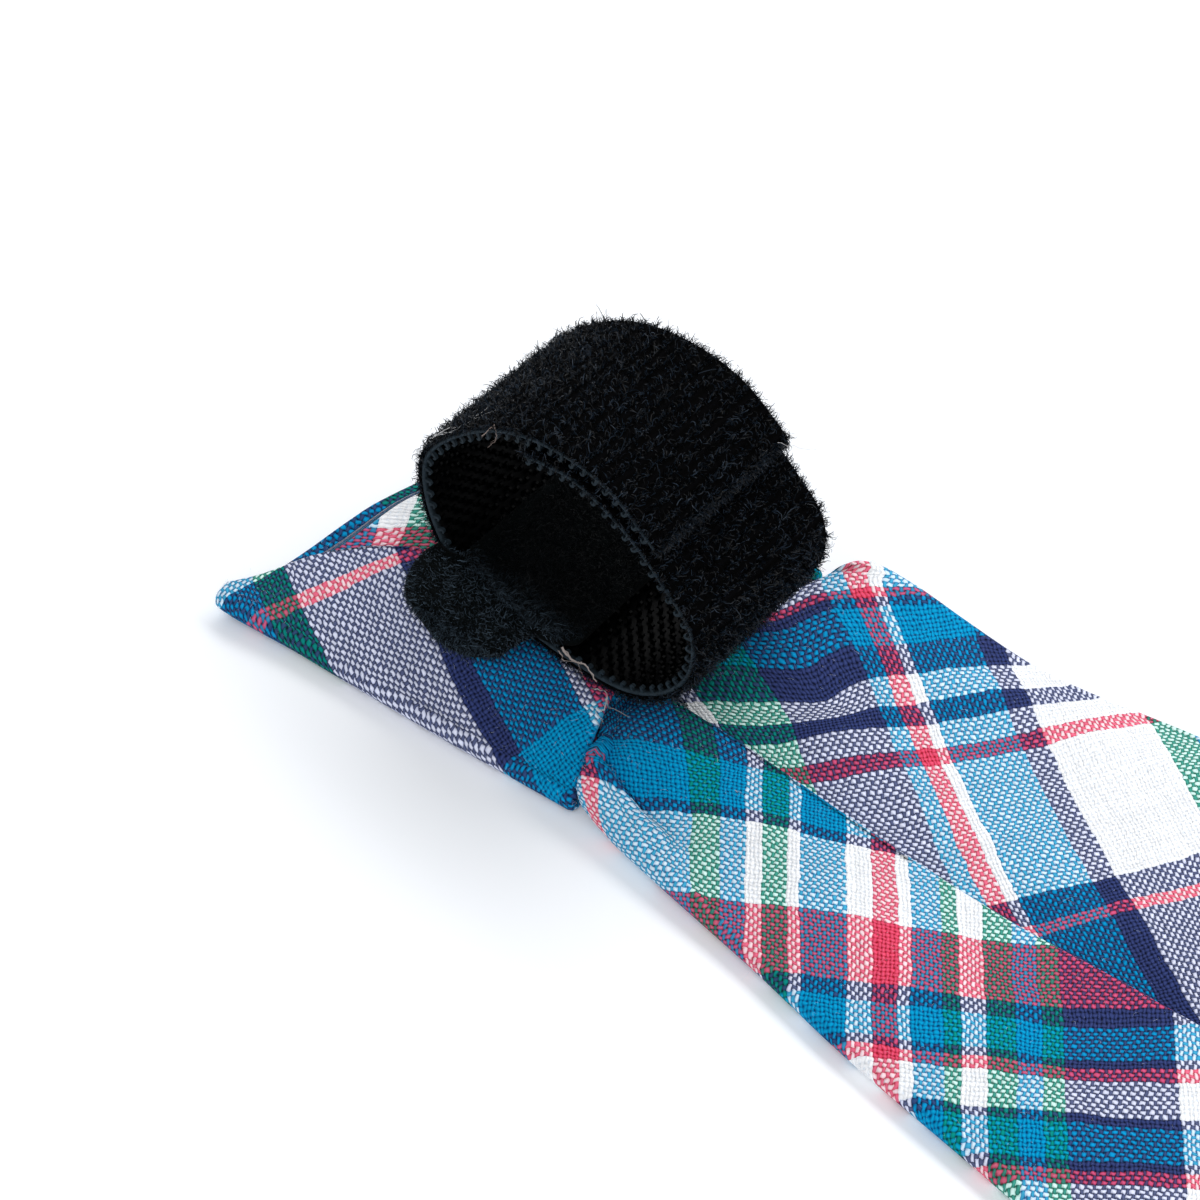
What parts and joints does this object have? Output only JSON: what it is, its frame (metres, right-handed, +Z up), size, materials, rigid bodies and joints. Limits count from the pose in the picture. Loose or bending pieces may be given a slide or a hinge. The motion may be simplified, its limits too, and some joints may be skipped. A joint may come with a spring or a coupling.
{
  "type": "dog necktie",
  "caption": "Slide-on necktie for a dog: folded plaid blade and knot with a hook-and-loop collar ring and pile pad on the back.",
  "frame": {"origin": "centre of the bounding box, on the surface that the front face lies on", "axes": "+X from the knot's top towards the blade's tip, +Y through the collar ring, +Z up out of the back"},
  "size_m": [0.1779, 0.0648, 0.0317],
  "materials": {
    "blade_cloth": "matte plain-woven cotton, plaid",
    "knot_cloth": "matte plain-woven cotton, plaid",
    "hook_and_loop": "brushed black loop outside, moulded black hooks inside",
    "pile": "brushed black pile"
  },
  "bodies": {
    "root": {"blade": "blade_cloth", "knot": "knot_cloth", "strap": "hook_and_loop", "pad": "pile"}
  },
  "joints": []
}
